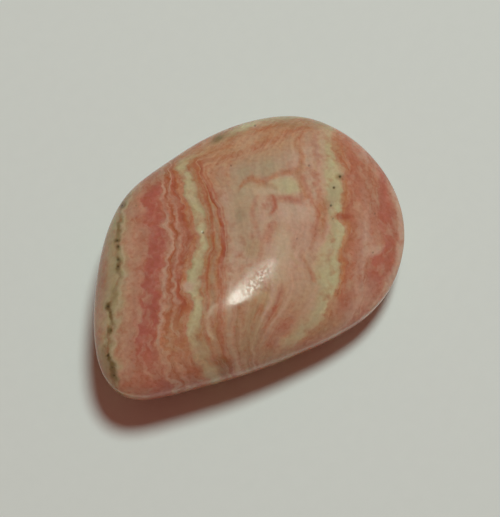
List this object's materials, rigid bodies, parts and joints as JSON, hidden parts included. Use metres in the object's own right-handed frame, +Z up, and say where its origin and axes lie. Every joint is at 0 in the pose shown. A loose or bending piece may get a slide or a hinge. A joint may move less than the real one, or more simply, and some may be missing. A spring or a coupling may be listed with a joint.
{
  "type": "polished mineral stone",
  "caption": "Tumbled, polished slab-shaped rhodochrosite stone: rounded pear outline, low crown, round edges, flat underside to rest on, pink and cream growth bands.",
  "frame": {"origin": "middle of the stone's bounding box seen from above, on the plane that it rests on", "axes": "+X along the stone, from the thick narrow end to the thin broad end; +Z up, out of the crown"},
  "size_m": [0.036, 0.025, 0.0104],
  "materials": {
    "polished_rhodochrosite": "polished, opaque and waxy, with pink, red and cream bands"
  },
  "bodies": {
    "root": {"rhodochrosite_stone": "polished_rhodochrosite"}
  },
  "joints": []
}
